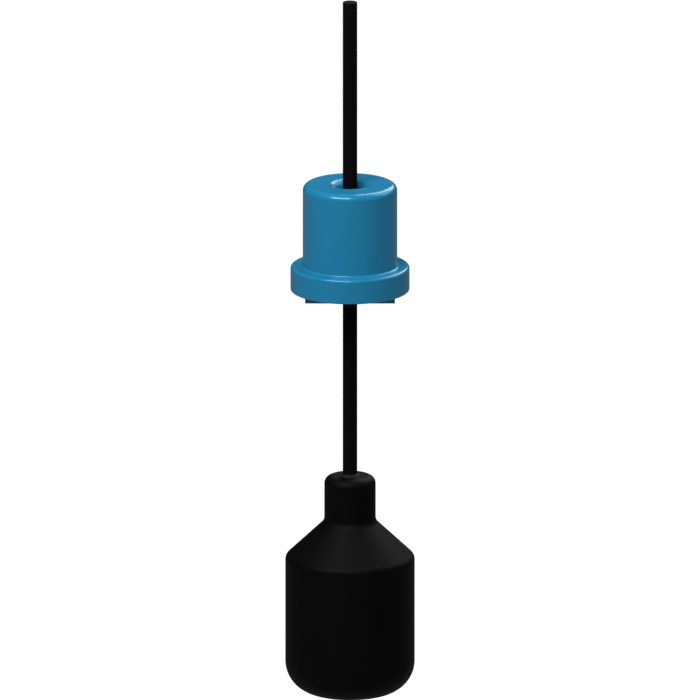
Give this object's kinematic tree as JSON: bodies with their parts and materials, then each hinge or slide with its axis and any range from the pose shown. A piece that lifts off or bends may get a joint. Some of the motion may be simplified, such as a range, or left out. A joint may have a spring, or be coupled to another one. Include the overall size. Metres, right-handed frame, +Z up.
{
  "type": "cable float switch",
  "caption": "Bottle-shaped float switch on a round cable, with a sliding clamped counterweight, for starting and stopping a sump or tank pump.",
  "frame": {"origin": "centre of the cable's cut upper end, where a gland or hook holds it", "axes": "+Z up along the cable, out of its cut end; the float hangs along -Z; -Y is the front, where the fixed half of the clamp bar is; +X to the right"},
  "size_m": [0.08, 0.08, 0.4405],
  "materials": {
    "cable_rubber": "matt black rubber sheath",
    "core_brown": "satin",
    "core_blue": "satin",
    "core_black": "satin",
    "copper": "bright stranded copper",
    "blue_plastic": "semi-gloss moulded",
    "cast_iron": "as cast",
    "guide_plastic": "satin",
    "steel": "zinc plated",
    "black_plastic": "satin moulded",
    "foam": "closed-cell foam",
    "seal_rubber": "soft matt",
    "brass": "turned",
    "grey_plastic": "satin moulded",
    "resin": "cast",
    "switch_plastic": "moulded",
    "spring_metal": "rolled strip",
    "ball_steel": "polished"
  },
  "bodies": {
    "cable": {"cable_end": "cable_rubber", "cable_upper": "cable_rubber", "core_brown_upper": "core_brown", "core_blue_upper": "core_blue", "core_black_upper": "core_black", "conductors_upper": "copper", "cable_flex": "cable_rubber"},
    "counterweight": {"weight_casing": "blue_plastic", "iron_ballast": "cast_iron", "cable_guide": "guide_plastic", "base_cover": "blue_plastic", "cover_screws": "steel", "clamp_nuts": "steel"},
    "clamp": {"clamp_jaw": "blue_plastic", "clamp_screws": "steel"},
    "float": {"float_upper": "black_plastic", "float_lower": "black_plastic", "foam_fill": "foam", "cable_seal": "seal_rubber", "gland_washer": "steel", "gland_nut": "brass", "cable_lower": "cable_rubber", "cable_tail": "cable_rubber", "cable_crimp": "steel", "core_brown_lower": "core_brown", "core_blue_lower": "core_blue", "core_black_lower": "core_black", "conductor_ends": "copper", "capsule_cap": "grey_plastic", "capsule_body": "grey_plastic", "capsule_o_ring": "seal_rubber", "potting": "resin", "switch_case": "switch_plastic", "switch_cover": "switch_plastic", "switch_terminals": "brass", "switch_screws": "steel", "lever_pin": "steel", "ball_cage": "guide_plastic"},
    "lever": {"switch_lever": "spring_metal"},
    "plunger": {"switch_plunger": "grey_plastic"},
    "blade": {"contact_blade": "spring_metal"},
    "ball": {"steel_ball": "ball_steel"}
  },
  "joints": [
    {"name": "weight_slide", "type": "slide", "parent": "cable", "child": "counterweight", "axis": [0, 0, 1], "range_m": [-0.014, 0.07]},
    {"name": "jaw_open", "type": "slide", "parent": "counterweight", "child": "clamp", "axis": [0, 1, 0], "range_m": [0, 0.002]},
    {"name": "float_swing", "type": "hinge", "parent": "cable", "child": "float", "pos_m": [0, 0, -0.247], "axis": [0, 1, 0], "range_deg": [-110, 110], "deforming": ["cable_flex"]},
    {"name": "ball_roll", "type": "slide", "parent": "float", "child": "ball", "axis": [0, 0, 1], "range_m": [0, 0.0151]},
    {"name": "lever_press", "type": "hinge", "parent": "float", "child": "lever", "pos_m": [-0.0119, 0, -0.3821], "axis": [0, -1, 0], "range_deg": [0, 5], "stiffness_Nm_per_rad": 0.01, "springref_deg": -2.86},
    {"name": "plunger_press", "type": "slide", "parent": "float", "child": "plunger", "axis": [0, 0, 1], "range_m": [0, 0.0007]},
    {"name": "blade_flip", "type": "hinge", "parent": "float", "child": "blade", "pos_m": [-0.011, 0, -0.37448], "axis": [0, -1, 0], "range_deg": [0, 6.3]}
  ],
  "couplings": [
    {"joint": "plunger_press", "follows": "lever_press", "m_per_rad": 0.0078},
    {"joint": "blade_flip", "follows": "lever_press", "ratio": 1.24}
  ]
}
